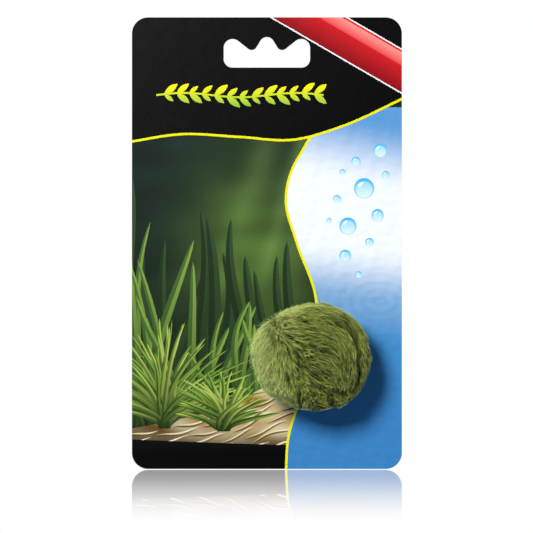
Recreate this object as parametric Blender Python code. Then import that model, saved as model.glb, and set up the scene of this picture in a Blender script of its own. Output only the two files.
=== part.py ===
"""Imitation moss ball fixed to a hanging display card: four solids in one shared frame.

Units are metres. X runs to the right across the card's face, Y runs from the viewer through the card, and
Z runs up. The origin is where a display peg bears: the top of the slot's middle notch, at mid thickness.
"""

import math
import random
from math import radians

import bmesh
import bpy
from mathutils import Matrix, Vector

# The paperboard card, die-cut with rounded corners.
CARD_WIDTH = 0.1000
CARD_HEIGHT = 0.1673
CARD_THICKNESS = 0.0006
CARD_CORNER_RADIUS = 0.0060
PEG_TO_CARD_TOP = 0.0073

# The peg slot: a bar with a round lobe at each side, a higher notch in the middle and a tongue between them.
SLOT_HALF_WIDTH = 0.0160
SLOT_HEIGHT = 0.0113
SLOT_FOOT_RADIUS = 0.0032
SIDE_LOBE_RADIUS = 0.0033
SIDE_LOBE_TOP = 0.0106
NOTCH_RADIUS = 0.0028
TONGUE_RADIUS = 0.0021
TONGUE_OFFSET = 0.00565
TONGUE_TIP = 0.0065

# The ball, placed by its centre. Its back is pressed flat against the glue that holds it to the card.
BALL_ACROSS = 16.3e-3
BALL_ABOVE_CARD_FOOT = 41.9e-3
BALL_SEMI_AXES = (0.0210, 0.0203, 0.0202)
BALL_FLAT_BEHIND_CENTRE = 0.0196
TOUCHING_GAP = 0.0003

# Dents (below zero) and bulges of the pile: degrees from +X towards +Z, height, spread in degrees.
BALL_SWELLS = (
    (106, -0.0019, 17),
    (245, -0.0016, 25),
    (0, 0.0006, 6),
    (150, 0.0005, 12),
    (312, 0.0006, 15),
)

# How the pile is combed: degrees to the right of the front, degrees above the middle, and the way the tips
# point there, in degrees from the viewer's right towards up.
PILE_LAY = (
    (2, 60, -12),
    (42, 47, -35),
    (55, 23, -62),
    (60, 6, -82),
    (54, -17, -97),
    (52, -36, -122),
    (30, -58, -120),
    (1, -30, -10),
    (-31, -36, -75),
    (-46, 6, -80),
    (-54, 27, -62),
    (-35, 36, -42),
    (-19, 16, -45),
    (0, 11, -35),
    (17, 11, -42),
    (33, 0, -60),
    (6, -7, 0),
    (17, -18, -28),
    (-75, 2, -85),
    (-56, -30, -60),
    (110, 20, -95),
    (110, -30, -110),
    (-120, 10, -90),
    (180, 0, -90),
)
LAY_REACH = radians(20)
LAY_FLOOR = 1e-4

# The locks that the pile gathers in: tongues that rise from root to tip and lie the way the pile is combed.
LOCK_COUNT = 76
LOCK_LENGTH = 0.0150
LOCK_WIDTH = 0.0056
LOCK_HEIGHT = 0.0015
LOCK_TIP_SHARE = 0.22
LOCK_SCATTER = 0.0016
LOCK_SEED = 7
LOCK_SIZES = (0.8, 1.15)
LOCK_SEEN_WITHIN = radians(60)

# The lattice core inside, its cavity in the cover, and the drawn-in mouth of the cover at the back.
CORE_RADIUS = 0.0176
RIB_THICKNESS = 0.0013
CAVITY_RADIUS = 0.0180
MOUTH_RADIUS = 0.0014

# The disc of set glue.
GLUE_RADIUS = 0.0060
GLUE_THICKNESS = 0.0008

# How finely the outlines, the two round cylinders and the two balls are divided.
ARC_STEP = radians(11.25)
POINT_MERGE = 1e-6
GLUE_SIDES = 32
MOUTH_SIDES = 12
COVER_SUBDIVISIONS = 5
CAVITY_SUBDIVISIONS = 4

CARD_FRONT = -CARD_THICKNESS / 2
GLUE_BACK = CARD_FRONT - TOUCHING_GAP
GLUE_FRONT = GLUE_BACK - GLUE_THICKNESS
BALL_BACK = GLUE_FRONT - TOUCHING_GAP
CARD_FOOT = PEG_TO_CARD_TOP - CARD_HEIGHT
BALL_CENTRE = Vector((BALL_ACROSS, BALL_BACK - BALL_FLAT_BEHIND_CENTRE, CARD_FOOT + BALL_ABOVE_CARD_FOOT))


def material(name, colour, roughness, metallic=0.0):
    """A Principled material of one linear colour."""
    made = bpy.data.materials.new(name)
    made.use_nodes = True
    shader = made.node_tree.nodes["Principled BSDF"]
    shader.inputs["Base Color"].default_value = (*colour, 1)
    shader.inputs["Roughness"].default_value = roughness
    shader.inputs["Metallic"].default_value = metallic
    return made


def new_object(name, bm, finish=None):
    """Puts a bmesh into a new object at the origin."""
    mesh = bpy.data.meshes.new(name)
    bm.to_mesh(mesh)
    bm.free()
    made = bpy.data.objects.new(name, mesh)
    bpy.context.scene.collection.objects.link(made)
    if finish:
        mesh.materials.append(finish)
    return made


def cutter(name, bm):
    """An object that only cuts others."""
    made = new_object(name, bm)
    made.hide_render = True
    made.display_type = "WIRE"
    return made


def subtract(target, tool):
    """Cuts the tool's shape out of the target."""
    cut = target.modifiers.new("cut_" + tool.name, "BOOLEAN")
    cut.operation = "DIFFERENCE"
    cut.solver = "EXACT"
    cut.object = tool


def add_cylinder(bm, radius, length, sides):
    """Adds a capped cylinder about the origin, with its axis along Y."""
    bmesh.ops.create_cone(
        bm,
        cap_ends=True,
        segments=sides,
        radius1=radius,
        radius2=radius,
        depth=length,
        matrix=Matrix.Rotation(radians(90), 4, "X"),
    )


def belt(discs):
    """The closed outline of a belt that runs counter-clockwise round discs (x, z, radius).

    A disc of negative radius is passed on its other side, so that the belt bends inwards there.
    """
    headings = []
    for i, (x, z, r) in enumerate(discs):
        next_x, next_z, next_r = discs[(i + 1) % len(discs)]
        span = math.hypot(next_x - x, next_z - z)
        headings.append(math.atan2(next_z - z, next_x - x) + math.asin((r - next_r) / span))
    points = []
    for i, (x, z, r) in enumerate(discs):
        start, end = headings[i - 1], headings[i]
        turn = (end - start) % math.tau
        if r < 0:
            turn -= math.tau
        steps = max(1, math.ceil(abs(turn) / ARC_STEP))
        for k in range(steps + 1):
            heading = start + turn * k / steps
            points.append((x + r * math.sin(heading), z - r * math.cos(heading)))
    return points


def card_outline():
    """The card's rounded rectangle."""
    r = CARD_CORNER_RADIUS
    right = CARD_WIDTH / 2 - r
    low, high = CARD_FOOT + r, PEG_TO_CARD_TOP - r
    return belt([(-right, low, r), (right, low, r), (right, high, r), (-right, high, r)])


def slot_outline():
    """The peg slot, symmetrical about the card's middle, with its notch's top at the origin."""
    foot = -SLOT_HEIGHT
    corner = (SLOT_HALF_WIDTH - SLOT_FOOT_RADIUS, foot + SLOT_FOOT_RADIUS, SLOT_FOOT_RADIUS)
    lobe = (SLOT_HALF_WIDTH - SIDE_LOBE_RADIUS, foot + SIDE_LOBE_TOP - SIDE_LOBE_RADIUS, SIDE_LOBE_RADIUS)
    tongue = (TONGUE_OFFSET, foot + TONGUE_TIP + TONGUE_RADIUS, -TONGUE_RADIUS)
    notch = (0, -NOTCH_RADIUS, NOTCH_RADIUS)
    right = [corner, lobe, tongue]
    left = [(-x, z, r) for x, z, r in reversed(right)]
    return belt([*right, notch, *left])


def build_card():
    """The board: its outline less the slot, filled and given its thickness about the card's mid plane."""
    bm = bmesh.new()
    for outline in (card_outline(), slot_outline()):
        verts = [bm.verts.new((x, 0, z)) for x, z in outline]
        for a, b in zip(verts, verts[1:] + verts[:1]):
            bm.edges.new((a, b))
    bmesh.ops.remove_doubles(bm, verts=bm.verts, dist=POINT_MERGE)
    bmesh.ops.triangle_fill(bm, use_beauty=True, edges=bm.edges, normal=(0, -1, 0))
    made = new_object("card", bm, material("coated_board", (0.030, 0.085, 0.105), 0.35))
    thickness = made.modifiers.new("board_thickness", "SOLIDIFY")
    thickness.thickness = CARD_THICKNESS
    thickness.offset = 0
    return made


def build_glue_spot():
    """The disc of set glue between the card and the flat back of the ball."""
    bm = bmesh.new()
    add_cylinder(bm, GLUE_RADIUS, GLUE_THICKNESS, GLUE_SIDES)
    made = new_object("glue_spot", bm, material("set_glue", (0.72, 0.68, 0.55), 0.30))
    made.location = (BALL_CENTRE.x, (GLUE_FRONT + GLUE_BACK) / 2, BALL_CENTRE.z)
    return made


def unit(across, above):
    """The direction out of the ball at degrees to the right of the front and degrees above its middle."""
    a, e = radians(across), radians(above)
    return Vector((math.sin(a) * math.cos(e), -math.cos(a) * math.cos(e), math.sin(e)))


def lay_guides():
    """Each place where the combing is given: its direction from the centre, and the way its tips point."""
    guides = []
    for across, above, heading in PILE_LAY:
        out = unit(across, above)
        right = Vector((0, 0, 1)).cross(out).normalized()
        up = out.cross(right)
        angle = radians(heading)
        guides.append((out, math.cos(angle) * right + math.sin(angle) * up))
    return guides


def lay_at(out, guides):
    """The way the pile is combed at a direction from the centre: the near guides' mean, laid flat."""
    total = Vector()
    for place, way in guides:
        angle = out.angle(place, 0)
        total += way * (math.exp(-((angle / LAY_REACH) ** 2)) + LAY_FLOOR)
    return (total - out * total.dot(out)).normalized()


def swell(out):
    """The height of the dents and bulges at a direction from the ball's centre."""
    height = 0
    for bearing, size, spread in BALL_SWELLS:
        middle = Vector((math.cos(radians(bearing)), 0, math.sin(radians(bearing))))
        height += size * math.exp(-0.5 * (math.degrees(out.angle(middle)) / spread) ** 2)
    return height


def comb_locks(guides):
    """The locks, spread evenly over the ball: each one's middle, its direction, its side and its size."""
    chance = random.Random(LOCK_SEED)
    golden_turn = math.pi * (3 - math.sqrt(5))
    locks = []
    for i in range(LOCK_COUNT):
        height = 1 - (2 * i + 1) / LOCK_COUNT
        ring = math.sqrt(1 - height * height)
        place = Vector((ring * math.cos(i * golden_turn), ring * math.sin(i * golden_turn), height))
        stray = Vector([chance.uniform(-1, 1) * LOCK_SCATTER / BALL_SEMI_AXES[0] for _ in range(3)])
        place = (place + stray).normalized()
        way = lay_at(place, guides)
        locks.append((place, way, place.cross(way), chance.uniform(*LOCK_SIZES)))
    return locks


def lock_relief(out, locks):
    """The height of the highest lock at a direction.

    A lock is a ramp from root to tip, round across and narrowing to both its ends.
    """
    highest = 0
    for place, way, side, size in locks:
        if out.dot(place) < math.cos(LOCK_SEEN_WITHIN):
            continue
        along = out.dot(way) * BALL_SEMI_AXES[0] / (size * LOCK_LENGTH) + 0.5
        if not 0 < along < 1:
            continue
        rise = min(along / (1 - LOCK_TIP_SHARE), (1 - along) / LOCK_TIP_SHARE)
        half_width = size * LOCK_WIDTH / 2 * math.sqrt(math.sin(math.pi * along))
        across = out.dot(side) * BALL_SEMI_AXES[0] / half_width
        if abs(across) < 1:
            highest = max(highest, size * rise * math.sqrt(1 - across * across))
    return LOCK_HEIGHT * highest


def ball_surface(out, locks):
    """The point of the pile's outer surface in a direction from the centre, pressed flat at the back."""
    semi = BALL_SEMI_AXES
    ellipsoid = 1 / math.sqrt(sum((out[k] / semi[k]) ** 2 for k in range(3)))
    point = BALL_CENTRE + out * (ellipsoid + swell(out) + lock_relief(out, locks))
    point.y = min(point.y, BALL_BACK)
    return point


def build_moss_cover():
    """The plush cover: one solid from its cavity to its pile's tips, with a small mouth at the back."""
    locks = comb_locks(lay_guides())
    bm = bmesh.new()
    bmesh.ops.create_icosphere(bm, subdivisions=COVER_SUBDIVISIONS, radius=1)
    for v in bm.verts:
        v.co = ball_surface(v.co.normalized(), locks)
    made = new_object("moss_cover", bm, material("moss_plush", (0.115, 0.155, 0.035), 0.90))
    made.data.shade_smooth()

    bm = bmesh.new()
    bmesh.ops.create_icosphere(bm, subdivisions=CAVITY_SUBDIVISIONS, radius=CAVITY_RADIUS)
    bmesh.ops.translate(bm, verts=bm.verts, vec=BALL_CENTRE)
    subtract(made, cutter("cavity", bm))

    bm = bmesh.new()
    add_cylinder(bm, MOUTH_RADIUS, CORE_RADIUS, MOUTH_SIDES)
    bmesh.ops.translate(bm, verts=bm.verts, vec=BALL_CENTRE + Vector((0, BALL_FLAT_BEHIND_CENTRE, 0)))
    subtract(made, cutter("mouth", bm))
    return made


def build_lattice_core():
    """The moulded lattice ball: an octahedron's faces split in four and starred, each edge a rib."""
    corners = [Vector(c) for c in ((1, 0, 0), (0, 1, 0), (-1, 0, 0), (0, -1, 0), (0, 0, 1), (0, 0, -1))]
    bm = bmesh.new()
    verts = [bm.verts.new(c) for c in corners]
    for i in range(4):
        side, following = verts[i], verts[(i + 1) % 4]
        bm.faces.new((side, following, verts[4]))
        bm.faces.new((following, side, verts[5]))
    bmesh.ops.subdivide_edges(bm, edges=bm.edges, cuts=1, use_grid_fill=True)
    bmesh.ops.triangulate(bm, faces=bm.faces)
    bmesh.ops.poke(bm, faces=bm.faces)
    for v in bm.verts:
        v.co = v.co.normalized() * CORE_RADIUS
    bmesh.ops.recalc_face_normals(bm, faces=bm.faces)
    made = new_object("lattice_core", bm, material("moulded_plastic", (0.045, 0.045, 0.045), 0.50))
    made.location = BALL_CENTRE
    ribs = made.modifiers.new("ribs", "WIREFRAME")
    ribs.thickness = RIB_THICKNESS
    ribs.offset = -1
    ribs.use_even_offset = True
    return made


def main():
    """Builds the card, the glue, the cover and the core."""
    for o in list(bpy.data.objects):
        bpy.data.objects.remove(o)
    build_card()
    build_glue_spot()
    build_moss_cover()
    build_lattice_core()


main()
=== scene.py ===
"""Looks of an imitation moss ball on its hanging display card.

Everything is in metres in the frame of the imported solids: X to the right across the card's face, Y from the
viewer through the card, Z up, and the origin where a display peg bears in the card's slot. Places on the
card are given as (u, v) in millimetres from the lower left corner of its printed face.
"""

import logging
import math
from dataclasses import dataclass, field
from enum import Enum
from typing import Any, Callable, Sequence

import bpy
import numpy as np
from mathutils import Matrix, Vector
from mathutils.geometry import delaunay_2d_cdt


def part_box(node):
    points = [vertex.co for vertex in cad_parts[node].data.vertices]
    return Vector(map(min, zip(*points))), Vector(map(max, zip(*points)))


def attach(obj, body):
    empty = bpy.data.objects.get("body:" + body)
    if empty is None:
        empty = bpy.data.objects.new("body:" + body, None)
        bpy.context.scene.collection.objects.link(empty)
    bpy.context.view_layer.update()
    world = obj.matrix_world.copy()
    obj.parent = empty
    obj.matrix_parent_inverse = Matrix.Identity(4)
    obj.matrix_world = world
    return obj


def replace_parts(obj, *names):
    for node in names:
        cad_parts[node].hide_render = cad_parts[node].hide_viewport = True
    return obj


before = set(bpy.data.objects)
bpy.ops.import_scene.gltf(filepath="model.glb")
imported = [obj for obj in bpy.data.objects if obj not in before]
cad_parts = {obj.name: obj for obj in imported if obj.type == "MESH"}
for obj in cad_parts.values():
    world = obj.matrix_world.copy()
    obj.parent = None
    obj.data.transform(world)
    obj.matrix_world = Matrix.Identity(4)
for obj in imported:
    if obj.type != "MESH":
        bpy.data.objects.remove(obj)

Array = np.ndarray
Pair = tuple[float, float]
Triple = tuple[float, float, float]
Tree = bpy.types.NodeTree
Socket = bpy.types.NodeSocket
Material = bpy.types.Material
Object = bpy.types.Object

MM = 0.001
BODY = "root"
LOG = logging.getLogger("moss_ball")

# The numbers of a Mix node's two colour inputs and of its colour output.
FIRST, SECOND, MIXED = 6, 7, 2


def linear(hex_colour: str) -> Array:
    """Turn an sRGB hex colour into linear red, green and blue.

    Each channel c is c / 12.92 up to 0.04045, and ((c + 0.055) / 1.055) to the power 2.4 above it.

    Args:
        hex_colour: Six hex digits after a hash sign.

    Returns:
        The three linear channels.
    """
    c = np.array([int(hex_colour[i : i + 2], 16) / 255 for i in (1, 3, 5)])
    return np.where(c <= 0.04045, c / 12.92, ((c + 0.055) / 1.055) ** 2.4)


def rgba(hex_colour: str) -> tuple[float, ...]:
    """The linear colour of a hex value with full opacity, as a socket takes it."""
    return (*linear(hex_colour), 1.0)


def per_mm(size_mm: float) -> float:
    """The scale that makes a pattern's features so many millimetres large."""
    return 1 / (size_mm * MM)


def unit(vectors: Array) -> Array:
    """The vectors at length one."""
    return vectors / np.linalg.norm(vectors, axis=-1, keepdims=True)


def ease(x: Array, start: float, end: float) -> Array:
    """A smooth step from 0 at start to 1 at end: 3 t squared less 2 t cubed of the clipped share t."""
    t = np.clip((x - start) / (end - start), 0, 1)
    return t * t * (3 - 2 * t)


def waves(points: Array, wavelength: float, seed: int, count: int = 12) -> Array:
    """Smooth noise: the mean of plane waves in random directions, each with its own phase.

    Args:
        points: The places, of any number of dimensions, in the unit of the wavelength.
        wavelength: The middle wavelength; the waves' own run from 0.6 to 1.6 times it.
        seed: Fixes the directions, lengths and phases.
        count: How many waves are added.

    Returns:
        A value from about -1 to 1 at each place.
    """
    chance = np.random.default_rng(seed)
    ways = unit(chance.normal(size=(count, points.shape[-1])))
    lengths = wavelength * chance.uniform(0.6, 1.6, count)
    phases = chance.uniform(0, math.tau, count)
    return np.sin(points @ (ways / lengths[:, None]).T * math.tau + phases).sum(-1) / math.sqrt(2 * count)


def set_inputs(tree: Tree, node: bpy.types.Node, inputs: dict[Any, Any]) -> None:
    """Give a node's inputs their values and links.

    Args:
        tree: The node tree.
        node: The node.
        inputs: For each input's name or number, an output to link to it or a value to set.
    """
    for key, value in inputs.items():
        if isinstance(value, Socket):
            tree.links.new(value, node.inputs[key])
        else:
            node.inputs[key].default_value = value


def add_node(
    tree: Tree,
    kind: str,
    inputs: dict[Any, Any],
    output: str | int = 0,
    stops: Sequence[tuple[float, str]] = (),
    **settings: Any,
) -> Socket:
    """Add a node to a tree with its settings, values and links.

    Args:
        tree: The node tree.
        kind: The node's type, such as Mix for a ShaderNodeMix.
        inputs: For each input's name or number, an output to link to it or a value to set.
        output: The name or number of the output that is wanted.
        stops: A colour ramp's places from 0 to 1, in rising order, and their hex colours.
        settings: The node's own properties.

    Returns:
        The wanted output.
    """
    node = tree.nodes.new(f"ShaderNode{kind}")
    for name, value in settings.items():
        setattr(node, name, value)
    set_inputs(tree, node, inputs)
    for number, (place, colour) in enumerate(stops):
        elements = node.color_ramp.elements
        element = elements[number] if number < 2 else elements.new(place)
        element.position, element.color = place, rgba(colour)
    return node.outputs[output]


def blank_material(name: str) -> tuple[Material, Tree, bpy.types.Node, Socket]:
    """Make a material to build on.

    Args:
        name: Its name.

    Returns:
        The material, its tree, its Principled shader, and the output of the object's own coordinates.
    """
    made = bpy.data.materials.new(name)
    made.use_nodes = True
    tree = made.node_tree
    return made, tree, tree.nodes["Principled BSDF"], add_node(tree, "TexCoord", {}, "Object")


@dataclass(frozen=True)
class CoatedBoardFace:
    """Offset print under a water-based varnish on white-lined board.

    Flat, dense inks with a low, slightly broken gloss. The board's faint waviness shows only in the gloss.
    """

    white_reflects: float = 0.80
    roughness: float = 0.28
    tone_varies: float = 0.03
    roughness_varies: float = 0.04
    gloss: float = 0.06
    mottle_mm: float = 0.8
    board_wave_mm: float = 9.0
    wave_depth_mm: float = 0.04

    def material(self) -> Material:
        """Make the material, whose ink is the colour attribute that the artwork writes.

        Returns:
            The material.
        """
        made, tree, shader, place = blank_material("varnished_offset_print")
        ink = add_node(tree, "VertexColor", {}, layer_name="ink")
        grain = {"Vector": place, "Scale": per_mm(self.mottle_mm), "Detail": 3.0}
        mottle = add_node(tree, "TexNoise", grain)
        tone, rough = (
            add_node(tree, "MapRange", {"Value": mottle, "To Min": mean - varies, "To Max": mean + varies})
            for mean, varies in (
                (self.white_reflects, self.tone_varies),
                (self.roughness, self.roughness_varies),
            )
        )
        swell = {"Vector": place, "Scale": per_mm(self.board_wave_mm), "Detail": 1.0}
        wave = add_node(tree, "TexNoise", swell)
        relief = {"Height": wave, "Distance": self.wave_depth_mm * MM, "Strength": 1.0}
        set_inputs(tree, shader, {
            "Base Color": add_node(tree, "VectorMath", {0: ink, "Scale": tone}, operation="SCALE"),
            "Roughness": rough,
            "Specular IOR Level": self.gloss,
            "Normal": add_node(tree, "Bump", relief),
        })
        return made


@dataclass(frozen=True)
class BareBoard:
    """The uncoated side or cut edge of recycled-pulp board: matt, with loose fibres and sparse flecks."""

    name: str
    tone: str
    fleck: str
    fibre_mm: float = 0.5
    fibre_squeeze: Triple = (0.35, 1.0, 1.0)
    fibre_depth_mm: float = 0.03
    fleck_mm: float = 0.7
    white_share: float = 0.45
    roughness: float = 0.85
    gloss: float = 0.25

    def material(self) -> Material:
        """Make the material from fibre noise, stretched across the card, and sparse flecks.

        Returns:
            The material.
        """
        made, tree, shader, place = blank_material(self.name)
        lain = add_node(tree, "Mapping", {"Vector": place, "Scale": self.fibre_squeeze})
        pulp = add_node(tree, "TexNoise", {"Vector": lain, "Scale": per_mm(self.fibre_mm), "Detail": 4.0})
        spots = add_node(tree, "TexNoise", {"Vector": place, "Scale": per_mm(self.fleck_mm), "Detail": 1.0})
        base = add_node(tree, "ValToRGB", {"Fac": pulp}, stops=((0.3, self.tone), (0.75, "#FFFFFF")))
        toned = {"Factor": self.white_share, FIRST: rgba(self.tone), SECOND: base}
        flecked = {
            "Factor": add_node(tree, "MapRange", {"Value": spots, "From Min": 0.7, "From Max": 0.8}),
            FIRST: add_node(tree, "Mix", toned, MIXED, data_type="RGBA"),
            SECOND: rgba(self.fleck),
        }
        relief = {"Height": pulp, "Distance": self.fibre_depth_mm * MM, "Strength": 1.0}
        set_inputs(tree, shader, {
            "Base Color": add_node(tree, "Mix", flecked, MIXED, data_type="RGBA"),
            "Roughness": self.roughness,
            "Specular IOR Level": self.gloss,
            "Normal": add_node(tree, "Bump", relief),
        })
        return made


@dataclass(frozen=True)
class AcrylicPile:
    """Dyed acrylic plush fibre: satin along its length, with painted shade where the pile is deep and painted
    light at its tips.

    The fibres' UV maps give in U the lock's own tone, with painted light and shade added in some places, and
    in V how far out of the pile's painted shade they show. Pale locks are a little yellower than dark ones.
    """

    name: str = "combed_acrylic_pile"
    root: str = "#080B03"
    shade: str = "#2E380F"
    middle: str = "#76842D"
    tip: str = "#B8C56E"
    painted_highlight: str = "#C9D19A"
    warm: str = "#968F38"
    lock_tones: Pair = (0.2, 1.9)
    patch_tones: Pair = (0.86, 1.14)
    patch_mm: float = 5.0
    warm_locks: Pair = (0.64, 0.8)
    warmest: float = 0.35
    roughness: float = 0.55
    gloss: float = 0.2

    def material(self) -> Material:
        """Make the material: a ramp from root to tip, shifted by lock and by patches of the ball.

        Returns:
            The material.
        """
        made, tree, shader, place = blank_material(self.name)
        strand = add_node(tree, "UVMap", {}, uv_map="strand")
        lock, painted_depth_light = add_node(tree, "SeparateXYZ", {"Vector": strand}).node.outputs[:2]
        # The ramp runs by painted depth light: its dark stops are painted shade of the deep pile, and its
        # palest stop is a painted highlight on the highest brushed-up tips.
        places = (0.0, 0.26, 0.51, 0.85, 1.0)
        colours = (self.root, self.shade, self.middle, self.tip, self.painted_highlight)
        along = add_node(tree, "ValToRGB", {"Fac": painted_depth_light}, stops=tuple(zip(places, colours)))
        patch = add_node(tree, "TexNoise", {"Vector": place, "Scale": per_mm(self.patch_mm), "Detail": 2.0})
        darkest, palest = self.lock_tones
        lock_tone = add_node(tree, "MapRange", {"Value": lock, "To Min": darkest, "To Max": palest})
        darkest, palest = self.patch_tones
        patch_range = {"From Min": 0.3, "From Max": 0.7, "To Min": darkest, "To Max": palest}
        patch_tone = add_node(tree, "MapRange", {"Value": patch, **patch_range})
        tone = add_node(tree, "Math", {0: lock_tone, 1: patch_tone}, operation="MULTIPLY")
        start, end = self.warm_locks
        warm_range = {"From Min": start, "From Max": end, "To Min": 0.0, "To Max": self.warmest}
        warmth = add_node(tree, "MapRange", {"Value": lock, **warm_range})
        warmed = {"Factor": warmth, FIRST: along, SECOND: rgba(self.warm)}
        dyed = add_node(tree, "Mix", warmed, MIXED, data_type="RGBA")
        set_inputs(tree, shader, {
            "Base Color": add_node(tree, "VectorMath", {0: dyed, "Scale": tone}, operation="SCALE"),
            "Roughness": self.roughness,
            "Specular IOR Level": self.gloss,
        })
        return made


@dataclass(frozen=True)
class KnitBacking:
    """The knitted ground cloth that the pile grows from, dyed darker than the pile: fine matt loops."""

    ground: str = "#20290F"
    loop: str = "#3B4820"
    loop_mm: float = 0.8
    loop_depth_mm: float = 0.15
    uneven: float = 0.35
    roughness: float = 0.9
    gloss: float = 0.2

    def material(self) -> Material:
        """Make the material from rows of cells, one to a knitted loop.

        Returns:
            The material.
        """
        made, tree, shader, place = blank_material("knitted_ground_cloth")
        cells = {"Vector": place, "Scale": per_mm(self.loop_mm), "Randomness": self.uneven}
        loops = add_node(tree, "TexVoronoi", cells)
        relief = {"Height": loops, "Distance": self.loop_depth_mm * MM, "Strength": 1.0}
        # Each loop is drawn paler in its middle and darker towards its edge: painted shade between the loops.
        set_inputs(tree, shader, {
            "Base Color": add_node(
                tree, "ValToRGB", {"Fac": loops}, stops=((0.0, self.loop), (0.6, self.ground))
            ),
            "Roughness": self.roughness,
            "Specular IOR Level": self.gloss,
            "Normal": add_node(tree, "Bump", relief),
        })
        return made


@dataclass(frozen=True)
class MouldedPolypropylene:
    """Injection-moulded polypropylene, dark grey: a spark-eroded matt grain with slight flow marks.

    The grain is drawn coarser than the real one, which is too fine to show.
    """

    tone: str = "#474744"
    flow: str = "#5A5A56"
    flow_mm: float = 7.0
    grain_mm: float = 0.25
    grain_depth_mm: float = 0.02
    roughness: Pair = (0.42, 0.6)

    def material(self) -> Material:
        """Make the material from a fine grain and slow flow marks.

        Returns:
            The material.
        """
        made, tree, shader, place = blank_material("moulded_polypropylene")
        flow = {"Vector": place, "Scale": per_mm(self.flow_mm), "Distortion": 1.5}
        marks = add_node(tree, "TexNoise", flow)
        grain = add_node(tree, "TexNoise", {"Vector": place, "Scale": per_mm(self.grain_mm), "Detail": 2.0})
        smooth, matt = self.roughness
        relief = {"Height": grain, "Distance": self.grain_depth_mm * MM, "Strength": 1.0}
        set_inputs(tree, shader, {
            "Base Color": add_node(
                tree, "ValToRGB", {"Fac": marks}, stops=((0.35, self.tone), (0.7, self.flow))
            ),
            "Roughness": add_node(tree, "MapRange", {"Value": grain, "To Min": smooth, "To Max": matt}),
            "Normal": add_node(tree, "Bump", relief),
        })
        return made


@dataclass(frozen=True)
class HotMelt:
    """Set hot-melt glue: smooth and milky, with slow clouds, letting some light in."""

    clear: str = "#E4DDC6"
    milky: str = "#F3EFE2"
    cloud_mm: float = 3.0
    roughness: float = 0.22
    light_let_in: float = 0.3
    light_reach_mm: Triple = (1.0, 0.8, 0.5)

    def material(self) -> Material:
        """Make the material from slow milky clouds under a smooth skin.

        Returns:
            The material.
        """
        made, tree, shader, place = blank_material("set_hot_melt")
        milk = {"Vector": place, "Scale": per_mm(self.cloud_mm), "Detail": 3.0}
        clouds = add_node(tree, "TexNoise", milk)
        set_inputs(tree, shader, {
            "Base Color": add_node(
                tree, "ValToRGB", {"Fac": clouds}, stops=((0.35, self.clear), (0.65, self.milky))
            ),
            "Roughness": self.roughness,
            "Subsurface Weight": self.light_let_in,
            "Subsurface Radius": tuple(reach * MM for reach in self.light_reach_mm),
            "Subsurface Scale": 1.0,
        })
        return made


def white_to_the_eye(tree: Tree, fill: str, strength: float) -> tuple[Socket, Socket]:
    """Plain white where the camera looks, straight or by a true mirror, and a weaker fill for other light.

    Args:
        tree: The node tree.
        fill: The fill light's hex colour.
        strength: The fill light's strength, where 1 is as bright as the white.

    Returns:
        The colour output, and an output that is 1 where the camera looks and 0 elsewhere.
    """
    path = add_node(tree, "LightPath", {}).node.outputs
    straight, mirrored = path["Is Camera Ray"], path["Is Singular Ray"]
    seen = add_node(tree, "Math", {0: straight, 1: mirrored}, operation="MAXIMUM")
    light = {"Factor": seen, FIRST: (*(linear(fill) * strength), 1.0), SECOND: rgba("#FFFFFF")}
    return add_node(tree, "Mix", light, MIXED, data_type="RGBA"), seen


@dataclass(frozen=True)
class LightTable:
    """A white acrylic light table: an even glow, under a mirror that fades from the card to the viewer."""

    mirror_at_card: float = 0.68
    mirror_ends_mm: float = 435.0
    fill: str = "#CDE0FF"
    glow_on_things: float = 0.44

    def material(self) -> Material:
        """Make the material: a white glow under a mirror that fades with the distance before the card.

        Returns:
            The material.
        """
        made, tree, shader, place = blank_material("lit_white_acrylic")
        tree.nodes.remove(shader)
        fade = {
            "Value": add_node(tree, "SeparateXYZ", {"Vector": place}, "Y"),
            "From Min": -self.mirror_ends_mm * MM,
            "From Max": 0.0,
            "To Max": self.mirror_at_card,
        }
        share = add_node(tree, "MapRange", fade, interpolation_type="SMOOTHSTEP")
        colour, seen = white_to_the_eye(tree, self.fill, self.glow_on_things)
        both = {
            0: add_node(tree, "Math", {0: share, 1: seen}, operation="MULTIPLY"),
            1: add_node(tree, "Emission", {"Color": colour}),
            2: add_node(tree, "BsdfAnisotropic", {"Color": rgba("#FFFFFF"), "Roughness": 0.0}),
        }
        set_inputs(tree, tree.nodes["Material Output"], {"Surface": add_node(tree, "MixShader", both)})
        return made


def new_piece(
    name: str,
    points: Array,
    corners: Array,
    sizes: Array,
    finishes: Sequence[Material],
    slot: str,
    smooth: bool = True,
) -> Object:
    """Put a mesh of whole arrays into a new object that rides on the part.

    Args:
        name: The piece's name.
        points: Its points, as rows of X, Y and Z in metres.
        corners: The point numbers of every face's corners, one face after another.
        sizes: How many corners each face has.
        finishes: Its materials.
        slot: Not used; the record's material slot that its finish goes with.
        smooth: Whether its faces are shaded smooth.

    Returns:
        The piece.
    """
    mesh = bpy.data.meshes.new(name)
    mesh.vertices.add(len(points))
    mesh.vertices.foreach_set("co", np.ascontiguousarray(points, np.float32).ravel())
    mesh.loops.add(len(corners))
    mesh.loops.foreach_set("vertex_index", np.ascontiguousarray(corners, np.int32))
    mesh.polygons.add(len(sizes))
    starts = np.concatenate([[0], np.cumsum(sizes)[:-1]])
    mesh.polygons.foreach_set("loop_start", np.ascontiguousarray(starts, np.int32))
    mesh.polygons.foreach_set("use_smooth", np.full(len(sizes), smooth))
    mesh.update(calc_edges=True)
    made = bpy.data.objects.new(name, mesh)
    bpy.context.scene.collection.objects.link(made)
    for finish in finishes:
        mesh.materials.append(finish)
    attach(made, BODY)
    LOG.info("%s: %d points, %d triangles", name, len(points), int((np.asarray(sizes) - 2).sum()))
    return made


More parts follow.
